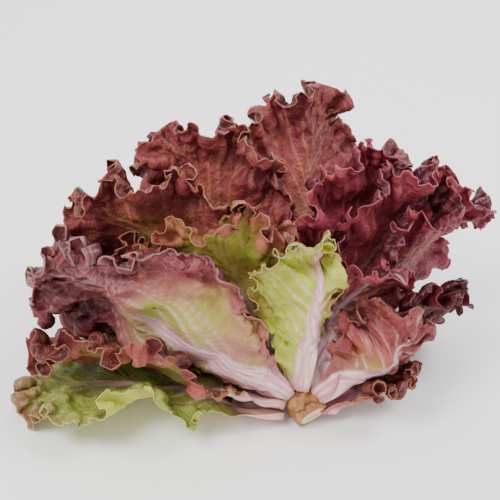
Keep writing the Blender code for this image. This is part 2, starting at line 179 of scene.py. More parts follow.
def lean_at(leaf, run, azimuth):
    """A leaf's lean from the axis along it. The surface that the head lies on stops it."""
    lean, length, curl = math.radians(leaf[2]), leaf[4] * MM, math.radians(leaf[6])
    start = min(BASE_LEAN, lean)
    wanted = start + (lean - start) * smooth(run / BASE_BEND) + curl * smooth((run / length - 0.45) / 0.6)
    across = HEAD[2, 0] * np.sin(azimuth) + HEAD[2, 1] * np.cos(azimuth)
    reach = np.hypot(HEAD[2, 2], across)
    limit = np.arctan2(across, HEAD[2, 2]) + np.arccos(np.clip(-math.sin(FLOOR_DROP) / reach, -1.0, 1.0))
    return wanted / (1.0 + (wanted / limit) ** LIMIT_POWER) ** (1.0 / LIMIT_POWER)


def skew_of(leaf):
    return leaf[10] if len(leaf) > 10 else 0.0


def flat_leaf(leaf, turn, rise):
    """The leaf laid flat: turn goes round its margin from -1 to 1, rise from its rib, 0, to its margin, 1."""
    share, hand = np.abs(turn), np.sign(turn)
    in_top = share < WIDEST_AT
    top = 0.5 * math.pi * np.clip(share / WIDEST_AT, 0, 1)
    low = np.clip((share - WIDEST_AT) / (1.0 - WIDEST_AT), 0, 1)
    across = np.where(in_top, np.sin(top), 0.5 + 0.5 * np.cos(math.pi * low))
    along = np.where(in_top, WIDEST_HEIGHT + (1 - WIDEST_HEIGHT) * np.cos(top), WIDEST_HEIGHT * (1 - low))
    length, half = leaf[4] * MM, leaf[5] * MM
    base = min((BASE_HALF_WIDTH[0] + BASE_HALF_WIDTH[1] * leaf[4]) * MM, 0.25 * half)
    margin_across = np.where(in_top, half * across, base + (half - base) * across)
    rib_along = length * RIB_REACH * (1 - share) ** 1.2
    across = (hand + skew_of(leaf) * np.abs(hand)) * margin_across * rise
    return across, rib_along + (length * along - rib_along) * rise


def bend_round(leaf, across, along):
    """The flat leaf bent round the head's axis."""
    length, height, centre = leaf[4] * MM, leaf[3] * MM, math.radians(leaf[0])
    run = np.hypot(across, along + FAN_ORIGIN) - FAN_ORIGIN
    swing = np.arctan2(across, along + FAN_ORIGIN) * (run + FAN_ORIGIN)
    in_heart = height > STEM_LENGTH
    root = HEART_ROOT if in_heart else stem_radius(height) + ROOT_GAP + 0.5 * CAD_BLADE
    most = HEART_WRAP if in_heart else MOST_WRAP

    def path(azimuth):
        out, up = np.zeros_like(run), np.zeros_like(run)
        for step in range(BEND_STEPS):
            lean = lean_at(leaf, run * (step + 0.5) / BEND_STEPS, azimuth)
            out += np.sin(lean) * run / BEND_STEPS
            up += np.cos(lean) * run / BEND_STEPS
        return out + root, up + height

    middle_out, _ = path(np.full_like(run, centre))
    sway = math.radians(leaf[1]) * smooth(run / length)
    azimuth = centre + sway + most * np.tanh(swing / middle_out / most)
    return round_axis(azimuth, *path(azimuth))


def normals_of(points, hand=1.0):
    """Normals towards a leaf's outer side, and directions round its margin."""
    around = unit(np.gradient(points, axis=0))
    normal = unit(np.cross(np.gradient(points, axis=1), around)) * hand
    normal[:, 0] = unit(normal[:, 1] + normal[::-1, 1])
    return normal, around


def looped(size, phase, tuck, normal, around):
    """Moves for waves that lean over by a share, so that their crests are rounder than a sine's."""
    up, along = np.sin(phase)[..., None], tuck * np.sin(2 * phase)[..., None]
    return size[..., None] * (up * normal - along * around)


def weld_rib(grid):
    grid[:, 0] = 0.5 * (grid[:, 0] + grid[::-1, 0])


def coarse_leaf(leaf, columns):
    """The middle surface with its large waves, and the rib's thickness."""
    turn, rise = np.meshgrid(np.linspace(-1, 1, columns + 1), ROWS, indexing="ij")
    across, along = flat_leaf(leaf, turn, rise)
    points = bend_round(leaf, across, along)
    start, drift, swell = np.random.default_rng(leaf[9]).uniform(0, 2 * math.pi, 3)
    phase = WAVES * math.pi * turn + start + 0.7 * np.sin(2.2 * math.pi * turn + drift)
    size = leaf[7] * MM * smooth((rise - 0.15) / 0.85) * (1 - np.abs(turn) ** 5)
    size = size * (1 - CALM_SHARE * smooth(leaf[8] * turn / 0.4))
    size = size * (0.85 + 0.3 * np.sin(3.1 * math.pi * turn + swell))
    points = points + looped(size, phase, 0.28, *normals_of(points))
    weld_rib(points)
    far = np.clip(along / (leaf[4] * MM), 0, 1)
    half_rib = RIB_HALF_WIDTH * (1.25 - 0.9 * far)
    rib = (CAD_RIB - CAD_BLADE) * (1 - far) ** 1.3 * np.exp(-((across / half_rib) ** 2))
    return points, rib * (HEART_RIB if leaf[3] * MM > STEM_LENGTH else 1.0)


def faces_of(points, rib, hand=1.0):
    normal, _ = normals_of(points, hand)
    return points + normal * (0.5 * CAD_BLADE + rib)[..., None], points - normal * (0.5 * CAD_BLADE)


def finer(grid, times):
    """A grid with more places, on straight lines between its own."""
    for way in (0, 1):
        count = grid.shape[way] - 1
        place = np.linspace(0, count, count * times + 1)
        low = np.minimum(place.astype(int), count - 1)
        share = (place - low).reshape([-1 if a == way else 1 for a in range(3)])
        grid = np.take(grid, low, way) * (1 - share) + np.take(grid, low + 1, way) * share
    return grid


def polar(points):
    """Azimuth, distance from the map's point and lean from the axis."""
    out, up = np.hypot(points[..., 0], points[..., 1]), points[..., 2] + APEX
    return np.arctan2(points[..., 0], points[..., 1]), np.hypot(out, up), np.arctan2(out, up)


def from_polar(azimuth, distance, lean):
    return round_axis(azimuth, distance * np.sin(lean), distance * np.cos(lean) - APEX)


def cell_of(azimuth, distance):
    turn = np.floor(azimuth / (2 * math.pi) * MAP_SIZE[0]).astype(int) % MAP_SIZE[0]
    return turn, np.minimum((distance / MAP_STEP).astype(int), MAP_SIZE[1] - 1)


def lay_over(layers, points, rib):
    """Bends a leaf outwards until it is clear of the leaves inside it."""
    for _ in range(CLEARING_ROUNDS):
        azimuth, distance, lean = polar(finer(faces_of(points, rib)[1], SAMPLES))
        least = layers[cell_of(azimuth, distance)] + LAYER_CLEARANCE / distance
        short = np.maximum(least - lean, 0.0)[:-1, :-1]
        short = short.reshape(points.shape[0] - 1, SAMPLES, points.shape[1] - 1, SAMPLES).max(axis=(1, 3))
        near = np.pad(short, 1)
        push = np.maximum(np.maximum(near[:-1, :-1], near[1:, :-1]), np.maximum(near[:-1, 1:], near[1:, 1:]))
        azimuth, distance, lean = polar(points)
        points = from_polar(azimuth, distance, lean + push)
        weld_rib(points)
    return points


def add_layer(layers, points, rib):
    """Marks how far out a leaf reaches."""
    azimuth, distance, lean = polar(finer(faces_of(points, rib)[0], SAMPLES))
    turn, step = cell_of(azimuth, distance)
    for a in (-1, 0, 1):
        for b in (-1, 0, 1):
            np.maximum.at(layers, ((turn + a) % MAP_SIZE[0], np.clip(step + b, 0, MAP_SIZE[1] - 1)), lean)


layers = np.zeros(MAP_SIZE)
heights = np.linspace(0, STEM_LENGTH + CORE_HEIGHT, 200)
radii = np.where(heights > STEM_LENGTH, CORE_RADIUS, stem_radius(heights)) + ROOT_GAP - LAYER_CLEARANCE
_, step = cell_of(0.0, np.hypot(radii, heights + APEX))
for k in (-1, 0, 1):
    np.maximum.at(layers, (slice(None), step + k), np.arctan2(radii, heights + APEX))
lie = {}
for name, leaf in heart_leaves.items():
    points, rib = coarse_leaf(leaf, HEART_MARGIN_STEPS)
    add_layer(layers, points, rib)
    lie[name] = ease_floor(to_world(points))
for name, leaf in reversed(leaves.items()):
    points, rib = coarse_leaf(leaf, MARGIN_STEPS)
    points = lay_over(layers, points, rib)
    add_layer(layers, points, rib)
    lie[name] = ease_floor(to_world(points))
    if name == "leaf_top":
        corners = np.concatenate([face.reshape(-1, 3) for face in faces_of(lie[name], rib, WORLD_HAND)])
        shift = np.array(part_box("leaf_top")[0]) - corners.min(axis=0)
for name in lie:
    lie[name] = lie[name] + shift


# Stump and stem
# The short stem that the head was cut from: firm pale flesh in a browned skin, with torn scars where leaves
# were stripped off, and a flat knife cut that has dried to a darker rim. The leaves grow from its upper part.

STUMP_AXIS = np.array([0.497, -0.770, -0.396])
STUMP_LENGTH = 18.0 * MM
STUMP_BULGE = 0.9 * MM
STUMP_SIDES = 120
STUMP_RINGS = 46
STEM_RINGS = 12
STEM_INSET = 2.0 * MM
SCARS = 7
SCAR_TURN = math.radians(137.5)
SCAR_SEED = 5
SCAR_HEIGHT = 0.9 * MM
TEAR_HEIGHT = 0.25 * MM
RIPPLE_HEIGHT = 0.16 * MM
COLLAR_STAIN = 2.4 * MM
# The cut face's rings, as shares of its radius, and how far its edge is rounded and its pith has sunk.
CUT_SHARES = (0.06, 0.18, 0.34, 0.5, 0.66, 0.8, 0.9, 0.97)
CUT_ROUNDING = 0.9 * MM
PITH_SINK = 0.5 * MM
KNIFE_MARKS = 0.12 * MM
STUMP_CLEARANCE = 0.05 * MM


def colour(hex_code):
    """A linear colour from an sRGB hex value."""
    parts = [int(hex_code[i:i + 2], 16) / 255 for i in (1, 3, 5)]
    return tuple(c / 12.92 if c <= 0.04045 else ((c + 0.055) / 1.055) ** 2.4 for c in parts) + (1.0,)


def node(tree, kind, inputs=(), stops=(), **settings):
    """Adds a node with its settings and links. An input takes a socket, a hex colour or a value."""
    new = tree.nodes.new(kind)
    for key, value in settings.items():
        if hasattr(new, key):
            setattr(new, key, value)
        else:
            new.inputs[key.replace("_", " ")].default_value = value
    for socket, value in dict(inputs).items():
        if isinstance(value, bpy.types.NodeSocket):
            tree.links.new(value, new.inputs[socket])
        else:
            new.inputs[socket].default_value = colour(value) if isinstance(value, str) else value
    if stops:
        while len(new.color_ramp.elements) < len(stops):
            new.color_ramp.elements.new(0.5)
        for element, (place, hex_code) in zip(new.color_ramp.elements, stops):
            element.position = place
            element.color = colour(hex_code)
    return new


def new_material(name, **shader):
    material = bpy.data.materials.new(name)
    material.use_nodes = True
    tree = material.node_tree
    for key, value in shader.items():
        tree.nodes["Principled BSDF"].inputs[key.replace("_", " ")].default_value = value
    return material, tree, tree.nodes["Principled BSDF"]


def add_piece(name, corners, faces, node_name, material, attributes=(), uv=None):
    """A piece from a closed mesh, smooth, riding on the head and standing for its solid."""
    mesh = bpy.data.meshes.new(name)
    mesh.from_pydata(corners.tolist(), [], faces)
    mesh.update()
    mesh.shade_smooth()
    for key, values in dict(attributes).items():
        values = np.ascontiguousarray(values, np.float32)
        mesh.attributes.new(key, "FLOAT", "POINT").data.foreach_set("value", values)
    if uv is not None:
        loops = np.zeros(len(mesh.loops), np.int32)
        mesh.loops.foreach_get("vertex_index", loops)
        mesh.uv_layers.new(name="leaf_mm").data.foreach_set("uv", uv[loops].astype(np.float32).ravel())
    mesh.materials.append(material)
    piece = bpy.data.objects.new(name, mesh)
    bpy.context.scene.collection.objects.link(piece)
    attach(piece, "root")
    if node_name:
        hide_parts(node_name)


def tube_faces(rings, sides):
    """Faces of a closed tube, whose last two corners are the middles of its first and last ring."""
    place = np.arange(rings * sides).reshape(rings, sides)
    beside = np.roll(place, -1, axis=1)
    quads = np.stack([place[:-1], place[1:], beside[1:], beside[:-1]], axis=-1).reshape(-1, 4)
    first = [(rings * sides, a, b) for a, b in zip(place[0].tolist(), beside[0].tolist())]
    last = [(rings * sides + 1, b, a) for a, b in zip(place[-1].tolist(), beside[-1].tolist())]
    return quads.tolist() + first + last


def scar_field(turn, level):
    """Where leaves were stripped off: pads with raised, torn lower edges."""
    rng = np.random.default_rng(SCAR_SEED)
    field, torn = np.zeros_like(turn), np.zeros_like(turn)
    for i in range(SCARS):
        centre = i * SCAR_TURN + rng.uniform(-0.2, 0.2)
        height = -STUMP_LENGTH * (0.12 + 0.62 * i / (SCARS - 1))
        aside = (np.mod(turn - centre + math.pi, 2 * math.pi) - math.pi) / rng.uniform(0.75, 1.0)
        ragged = 0.9 * MM * np.sin(7 * turn + i) + 0.5 * MM * np.sin(17 * turn + 2 * i)
        above = (level + ragged - height) / (0.30 * STUMP_LENGTH)
        pad = np.clip(1 - aside ** 2, 0, 1) ** 0.5
        field = np.maximum(field, pad * np.where(above < 0, smooth(1 + 6 * above), smooth(1 - above)))
        torn = np.maximum(torn, pad * np.exp(-((above + 0.05) / 0.12) ** 2))
    return field, torn


turns = np.linspace(0, 2 * math.pi, STUMP_SIDES, endpoint=False)
out_way = HEAD.T @ unit(STUMP_AXIS)
stump_levels = np.linspace(-STUMP_LENGTH, 0, STUMP_RINGS)
stem_levels = STEM_LENGTH * np.linspace(0.04, 1.0, STEM_RINGS)
levels = np.concatenate([stump_levels, stem_levels])
rings, scars, tears = [], [], []
for level in levels:
    turned = smooth(-level / (0.35 * STUMP_LENGTH))
    way = unit(np.array([0.0, 0.0, 1.0]) * (1 - turned) - out_way * turned)
    centre = way * level if level < 0 else np.array([0.0, 0.0, level])
    across = unit(np.array([1.0, 0.0, 0.0]) - way * way[0])
    radius = np.full(STUMP_SIDES, float(stem_radius(level)))
    field, torn = scar_field(turns, np.full(STUMP_SIDES, level))
    if level > 0:
        radius = radius - STEM_INSET * smooth(level / (3 * MM))
        field, torn = field * 0, torn * 0
    else:
        ripple = np.sin(23 * turns + 300 * level) * np.sin(9 * turns)
        radius = radius - STUMP_BULGE * (1 - math.sin(math.pi * -level / STUMP_LENGTH) ** 0.5)
        radius = radius + (field - 1) * SCAR_HEIGHT + TEAR_HEIGHT * torn
        radius = radius + RIPPLE_HEIGHT * ripple - CUT_ROUNDING * (level < -0.985 * STUMP_LENGTH)
        collar = np.exp(-((level + 0.5 * MM) / COLLAR_STAIN) ** 2) * (0.65 + 0.35 * np.sin(5 * turns + 1.0))
        torn = np.maximum(torn, collar)
    round_ring = np.cos(turns)[:, None] * across + np.sin(turns)[:, None] * np.cross(way, across)
    rings.append(to_world(centre + radius[:, None] * round_ring))
    scars.append(field)
    tears.append(torn)
# The cut face: rings drawn in to its centre, sunk a little where the pith has dried.
cut_centre = rings[0].mean(axis=0)
cut_rings = []
for share in CUT_SHARES:
    dish = PITH_SINK * (1 - share) + KNIFE_MARKS * math.sin(22 * share)
    cut_rings.append(cut_centre + (rings[0] - cut_centre) * share - unit(STUMP_AXIS) * dish)
grid = np.array(cut_rings + rings)
corners = np.concatenate([grid.reshape(-1, 3), [grid[0].mean(axis=0)], [grid[-1].mean(axis=0)]]) + shift
corners[:, 2] = np.maximum(corners[:, 2], STUMP_CLEARANCE)
# The finish reads how far out on the cut a place is. 1 is skin, and the stem above the collar is cream.
skin_or_cream = np.where(levels > 1.5 * MM, 0.5, 1.0)
cut_share = np.repeat(np.concatenate([CUT_SHARES, skin_or_cream]), STUMP_SIDES)
no_scars = np.zeros(len(CUT_SHARES) * STUMP_SIDES)

# Cut lettuce stem: wet when cut, then dried and browned. Matt, with mottling of 4 mm and blotches of 9 mm.
stump_skin, tree, shader = new_material("cut lettuce stem", Roughness=0.62, Subsurface_Weight=0.08,
                                        Subsurface_Radius=(0.003, 0.0015, 0.0006))
where = node(tree, "ShaderNodeTexCoord").outputs["Object"]
mottle = node(tree, "ShaderNodeTexNoise", {"Vector": where}, Scale=260.0, Detail=6.0).outputs[0]
blotch = node(tree, "ShaderNodeTexNoise", {"Vector": where}, Scale=110.0, Detail=3.0).outputs[0]
cut, scar, torn = (node(tree, "ShaderNodeAttribute", attribute_name=key).outputs["Fac"]
                   for key in ("cut", "scar", "torn"))
on_face = node(tree, "ShaderNodeMath", {0: cut, 1: 0.985}, operation="LESS_THAN").outputs[0]
face_colour = node(tree, "ShaderNodeValToRGB", {0: cut}, (
    (0.0, "#e0cf96"), (0.35, "#d8c48c"), (0.5, "#e6d6ac"),
    (0.78, "#e9dcb8"), (0.9, "#c79a5e"), (1.0, "#8f5a2e"))).outputs[0]
pale_bark = node(tree, "ShaderNodeValToRGB", {0: blotch}, ((0.46, "#000000"), (0.64, "#d0d0d0"))).outputs[0]
browned = node(tree, "ShaderNodeValToRGB", {0: mottle}, ((0.3, "#000000"), (0.75, "#6a6a6a"))).outputs[0]
base = "#8c5426"
for share, over in ((scar, "#783c12"), (pale_bark, "#c0904e"), (torn, "#4a220e"), (on_face, face_colour),
                    (browned, "#8c5c34")):
    base = node(tree, "ShaderNodeMix", {0: share, 6: base, 7: over}, data_type="RGBA").outputs[2]
tree.links.new(base, shader.inputs["Base Color"])
bump = node(tree, "ShaderNodeBump", {"Height": mottle}, Strength=0.5, Distance=0.0006)
tree.links.new(bump.outputs[0], shader.inputs["Normal"])
add_piece("stump_and_stem", corners, tube_faces(len(grid), STUMP_SIDES), "stump", stump_skin,
          {"cut": np.concatenate([cut_share, [0.0, 0.5]]),
           "scar": np.concatenate([no_scars, np.ravel(scars), [0, 0]]),
           "torn": np.concatenate([no_scars, np.ravel(tears), [0, 0]])})


# Leaf blades
# A fresh leaf: a thin crisp blade on a fleshy white midrib, with side veins that stand out on its back. Its
# margin grows faster than its middle, so it ruffles: large waves, loops on those, and a crimp at the edge.

BLADE = 0.5 * MM
RIB_HEIGHT = 3.6 * MM
RIB_EDGE = 6.2 * MM
LONGEST_LEAF = 170
RIDGE_HEIGHT = 0.1 * MM
RIDGE_SPACING = 0.9 * MM
VEINS_A_SIDE = 9
VEIN_HEIGHT = 0.8 * MM
VEIN_DENT = 0.25 * MM
# The margin's roll, loops, crimp and teeth.
ROLL_WIDTH = 16.0 * MM
ROLL_MOST = math.radians(80)
LOOP_LENGTH = 16.0 * MM
LOOP_HEIGHT = 5.0 * MM
LOOP_REACH = 38 * MM
CRIMP_LENGTH = 6.8 * MM
CRIMP_HEIGHT = 2.0 * MM
CRIMP_REACH = 13 * MM
TOOTH_LENGTH = 5.0 * MM
TOOTH_HEIGHT = 1.3 * MM
TOOTH_REACH = 4 * MM
# The quilting's three sizes in millimetres, and the share of each.
QUILT = ((24, 1.2), (12, 0.6), (6, 0.38))
# The map of how far in the leaves outside lie, which holds the ruffles of those inside.
COVER_SAMPLES = 8
COVER_ROUNDS = 12
COVER_SLOPE = 0.02
COVER_GAP = 1.8 * MM
# A leaf's foot on the stem. Leaves that grow higher than 20 mm up hide theirs.
FOOT_LENGTH = 15.0 * MM
FOOT_STAND = 0.5 * MM
FOOT_LAYER = 0.05 * MM
FOOT_END = 4.5 * MM
FOOT_HIGHEST = 20
FLOOR_GAP = 0.1 * MM


def curve_through(values, knots, places, way):
    """Smooth curves through rows of points, with slopes from their neighbours."""
    values = np.moveaxis(values, way, 0)
    gaps = np.diff(knots).reshape((-1,) + (1,) * (values.ndim - 1))
    steps = np.diff(values, axis=0) / gaps
    slopes = np.empty_like(values)
    slopes[1:-1] = (steps[:-1] * gaps[1:] + steps[1:] * gaps[:-1]) / (gaps[1:] + gaps[:-1])
    slopes[0], slopes[-1] = steps[0], steps[-1]
    low = np.clip(np.searchsorted(knots, places, side="right") - 1, 0, len(knots) - 2)
    gap = (knots[low + 1] - knots[low]).reshape((-1,) + (1,) * (values.ndim - 1))
    t = ((places - knots[low]) / (knots[low + 1] - knots[low])).reshape(gap.shape)
    curve = (values[low] * (2 * t ** 3 - 3 * t ** 2 + 1) + values[low + 1] * (3 * t ** 2 - 2 * t ** 3)
             + slopes[low] * gap * (t ** 3 - 2 * t ** 2 + t) + slopes[low + 1] * gap * (t ** 3 - t ** 2))
    return np.moveaxis(curve, 0, way)


def drifting(rng, at, length, count=5):
    """A smooth random value from -1 to 1 along a distance, with waves of about a length."""
    total = np.zeros_like(at)
    for _ in range(count):
        total += np.sin(2 * math.pi * at / (length * rng.uniform(0.6, 1.9)) + rng.uniform(0, 2 * math.pi))
    return total / count ** 0.5 / 1.4


def puckers(rng, x, y, length, count=14):
    """A smooth random field with bumps of about a length."""
    total = np.zeros_like(x)
    for _ in range(count):
        way, size = rng.uniform(0, 2 * math.pi), length * rng.uniform(0.7, 1.5)
        along = x * math.cos(way) + y * math.sin(way)
        total += np.sin(2 * math.pi * along / size + rng.uniform(0, 2 * math.pi))
    return total / (count / 2) ** 0.5


def to_head(points):
    """Back from the world to the head's own frame."""
    return (points - shift - np.array([0.0, 0.0, COLLAR_HEIGHT])) @ HEAD


def cover_with(cover, points):
    """Marks where a leaf lies, so that the leaves inside it stay inside it."""
    azimuth, distance, lean = polar(to_head(finer(points, COVER_SAMPLES)))
    turn, step = cell_of(azimuth, distance)
    for a in (-1, 0, 1):
        np.minimum.at(cover, ((turn + a) % MAP_SIZE[0], step), lean)
    for _ in range(COVER_ROUNDS):
        for axis, way in ((0, 1), (0, -1), (1, 1), (1, -1)):
            np.minimum(cover, np.roll(cover, way, axis) + COVER_SLOPE, out=cover)


def kept_under(cover, points):
    """Holds a leaf's ruffles back where another leaf lies over them."""
    azimuth, distance, lean = polar(to_head(points))
    turn = azimuth / (2 * math.pi) * MAP_SIZE[0] - 0.5
    step = np.clip(distance / MAP_STEP - 0.5, 0, MAP_SIZE[1] - 2)
    turn_low, step_low = np.floor(turn).astype(int), np.floor(step).astype(int)
    limit = np.zeros_like(lean)
    for a, turn_share in ((0, 1 - (turn - turn_low)), (1, turn - turn_low)):
        for b, step_share in ((0, 1 - (step - step_low)), (1, step - step_low)):
            limit += cover[(turn_low + a) % MAP_SIZE[0], step_low + b] * turn_share * step_share
    return to_world(from_polar(azimuth, distance, np.minimum(lean, limit - COVER_GAP / distance))) + shift


cover = np.full(MAP_SIZE, math.pi)


def blade_piece(name, leaf, fineness, finish, look, node_name, slot):
    """One leaf: look gives its loops, its paleness, where red begins and how red it is."""
    rng = np.random.default_rng(leaf[9] + 500)
    coarse = lie[name]
    steps = coarse.shape[0] - 1
    columns_a_step, rows = fineness
    even = np.linspace(0, 1, rows)
    rise_places = 0.45 * even ** 1.5 + 0.55 * (1 - (1 - even) ** 1.6)
    even = np.linspace(-1, 1, steps * columns_a_step + 1)
    turn_places = 0.5 * steps * (1 + even * (0.82 + 0.18 * even ** 2))
    fine = curve_through(coarse, ROWS, rise_places, 1)
    fine = curve_through(fine, np.arange(steps + 1.0), turn_places, 0)
    turn, rise = np.meshgrid(turn_places / steps * 2 - 1, rise_places, indexing="ij")
    x, y = flat_leaf(leaf, turn, rise)
    far = np.clip(y / (leaf[4] * MM), 0, 1)
    # Distances round the margin, and in from it.
    margin = np.linalg.norm(np.diff(fine[:, -1], axis=0), axis=-1)
    round_margin = np.concatenate([[0], np.cumsum(margin)])
    round_margin = round_margin - round_margin[len(round_margin) // 2]
    round_margin = np.repeat(round_margin[:, None], rows, axis=1)
    inward = np.linalg.norm(np.diff(fine[:, ::-1], axis=1), axis=-1)
    inward = np.concatenate([np.zeros((len(fine), 1)), np.cumsum(inward, axis=1)], axis=1)[:, ::-1]
    # Ruffles fade where the leaf is narrow, at its base and on a calm side.
    narrow = smooth((inward[:, :1] - 8 * MM) / (22 * MM))
    calm_side = smooth(look["calm"] * turn / 0.35)
    lively = narrow * (1 - np.abs(turn) ** 7)
    lively = lively * (1 - calm_side * min(abs(look["calm"]), 0.9) * smooth((0.85 - far) / 0.25))

    # The margin rolls back over the leaf's back, more in some places than in others.
    normal, _ = normals_of(fine, WORLD_HAND)
    share = np.clip(0.42 + 0.5 * drifting(rng, round_margin[:, 0], 62 * MM) + look["roll"], 0.0, 1.0)
    rolled = fine.copy()
    for k in range(1, rows):
        step = fine[:, k] - fine[:, k - 1]
        size = np.linalg.norm(step, axis=-1, keepdims=True)
        turned = ROLL_MOST * share * lively[:, k] * np.clip(1 - inward[:, k] / ROLL_WIDTH, 0, 1) ** 1.3
        way = np.cos(turned)[:, None] * step / np.maximum(size, 1e-9) + np.sin(turned)[:, None] * normal[:, k]
        rolled[:, k] = rolled[:, k - 1] + way * size
    fine = rolled

    # Loops round the margin, then a crimp at its edge.
    at = round_margin + 4 * MM * drifting(rng, round_margin, 40 * MM)
    phase = 2 * math.pi * at / LOOP_LENGTH + 1.3 * np.sin(inward / (9 * MM) + rng.uniform(0, 6))
    swell = 0.72 + 0.5 * drifting(rng, round_margin, 30 * MM)
    size = LOOP_HEIGHT * look["loops"] * swell * smooth(1 - inward / LOOP_REACH) ** 1.3 * lively
    fine = fine + looped(size, phase, 0.42, *normals_of(fine, WORLD_HAND))
    phase = 2 * math.pi * round_margin / CRIMP_LENGTH + 2.6 * drifting(rng, round_margin, 19 * MM)
    phase = phase + 0.9 * np.sin(inward / (4 * MM))
    swell = 0.7 + 0.6 * drifting(rng, round_margin, 15 * MM)
    size = CRIMP_HEIGHT * look["loops"] * swell * smooth(1 - inward / CRIMP_REACH) ** 1.3 * lively
    fine = fine + looped(size, phase, 0.3, *normals_of(fine, WORLD_HAND))

    # Small teeth, in the blade's own plane.
    outwards = unit(np.gradient(fine, axis=1))
    phase = 2 * math.pi * round_margin / TOOTH_LENGTH + 3.0 * drifting(rng, round_margin, 17 * MM)
    swell = 0.7 + 0.5 * drifting(rng, round_margin, 13 * MM)
    tooth = np.abs(np.sin(0.5 * phase)) * swell * smooth(1 - inward / TOOTH_REACH)
    fine = fine - outwards * (TOOTH_HEIGHT * tooth * narrow)[..., None]

    # The blade is quilted between its veins, most in its outer half.
    rib_edge = RIB_EDGE * look["rib_wide"] * (0.4 + 0.6 * leaf[4] / LONGEST_LEAF) * (1 - 0.78 * far ** 0.8)
    on_rib = np.clip(1 - (x / rib_edge) ** 2, 0, 1) ** 0.7
    off_rib = smooth((np.abs(x) / rib_edge - 0.8) / 1.5)
    quilt = sum(puckers(rng, x, y, bump_size * MM) * share for bump_size, share in QUILT)
    quilt = quilt * MM * look["quilt"] * narrow * off_rib * smooth(far / 0.25)
    quilt = quilt * (0.35 + 0.65 * smooth((50 * MM - inward) / (30 * MM)))
    normal, _ = normals_of(fine, WORLD_HAND)
    fine = fine + normal * quilt[..., None]
    weld_rib(fine)
    fine = kept_under(cover, fine)

    # Side veins leave the rib and fork on the way to the margin.
    normal, _ = normals_of(fine, WORLD_HAND)
    column_width = np.linalg.norm(np.gradient(fine, axis=0), axis=-1) / np.gradient(turn, axis=0)
    vein = np.zeros_like(turn)
    for hand in (-1, 1):
        for i in range(VEINS_A_SIDE):
            up_rib = max(i + rng.uniform(-0.2, 0.2), 0.0) / VEINS_A_SIDE
            root = hand * (0.045 + 0.86 * up_rib ** 1.08)
            for fork in (-1, 0, 1):
                bent = root * (1 - look["sweep"] * rise ** 0.8) + hand * 0.02 * np.sin(rise * 4 + i)
                bent = bent + fork * 0.05 * smooth((rise - 0.3 - 0.05 * (i % 3)) / 0.8)
                width = (1.6 - 1.15 * rise) * MM * look["vein_wide"] * (0.7 if fork else 1)
                line = np.exp(-(((turn - bent) * column_width / width) ** 2))
                if fork:
                    line = line * (0.8 * smooth((rise - 0.34) / 0.2))
                vein = np.maximum(vein, line * (1 - 0.45 * rise) * smooth((far + 0.05) / 0.15))
    rib = RIB_HEIGHT * (1 - far) ** 1.1 * on_rib * (HEART_RIB if slot == "heart_leaf" else 1.0)
    ridges = RIDGE_HEIGHT * np.cos(x / RIDGE_SPACING) * on_rib * smooth((0.75 - far) / 0.4)
    raised = VEIN_HEIGHT * vein * (1 - 0.4 * rise) * (1 - 0.7 * on_rib) * smooth(inward / (8 * MM))
    outer = fine + normal * (0.5 * BLADE + rib + ridges + raised)[..., None]
    inner = fine - normal * (0.5 * BLADE - 0.2 * rib - VEIN_DENT * vein)[..., None]

    # The foot clasps the stem: it runs down it to the collar and thins out against it.
    foot = np.clip(1 - y / FOOT_LENGTH, 0, 1) ** 1.5
    layer = FOOT_LAYER * (len(leaves) - list(lie).index(name))
    drop = np.clip(leaf[3] * MM - FOOT_END, 0, FOOT_LENGTH) * (slot != "heart_leaf")
    for face, stand, lowest in ((outer, FOOT_STAND + layer, FLOOR_GAP),
                                (inner, -FOOT_STAND, FLOOR_GAP + BLADE)):
        local = to_head(face)
        azimuth, out = np.arctan2(local[..., 0], local[..., 1]), np.hypot(local[..., 0], local[..., 1])
        up = local[..., 2] - foot * drop
        out = out + (stem_radius(up) + stand - out) * foot * (leaf[3] < FOOT_HIGHEST)
        face[...] = to_world(round_axis(azimuth, out, up)) + shift
        face[..., 2] = np.maximum(face[..., 2], lowest)

    # What the finish reads: how red, how pale, veins, where the margin's painted highlight lies, and side.
    patch = puckers(rng, x, y, 60 * MM, 8) * 0.08 + puckers(rng, x, y, 18 * MM, 10) * 0.05
    red = (look["red_from"] * 55 * MM - inward) / (26 * MM) * 0.5 + 0.5 + look["red"]
    red = red + look["tip_red"] * smooth((far - 0.62) / 0.3)
    red = red - look["green"] * smooth((look["green_to"] - far) / 0.35)
    red = red - 0.45 * calm_side * smooth((0.9 - far) / 0.2)
    green_margin = smooth(1.1 - inward / (32 * MM)) * smooth(-look["calm"] * turn / 0.3)
    green_margin = green_margin * smooth((0.8 - far) / 0.2)
    red = np.clip(red, look["least_red"], 1) + patch - look["green_margin"] * green_margin
    fan = np.exp(-((x / (rib_edge * 2.4)) ** 2)) * smooth((0.85 - far) / 0.6)
    stalk = smooth((1.2 - np.abs(x) / rib_edge) / 0.45) * smooth((look["rib_to"] - far) / 0.4)
    branch = vein * (1 - rise) ** 1.4 * smooth((look["rib_to"] - 0.1 - far) / 0.4) * 0.85
    clasp = smooth((0.11 - far) / 0.1) * np.exp(-((x / (1.9 * rib_edge)) ** 2)) * 0.9
    pale = np.clip(np.maximum(np.maximum(stalk, branch), fan * look["fan"]) + clasp, 0, 1)
    # The margin's painted highlight: its last fraction of a millimetre is lightened as if light caught the
    # edge.
    edge = np.exp(-inward / (0.6 * MM))
    dried_foot = np.exp(-(y / (3.5 * MM)) ** 2)

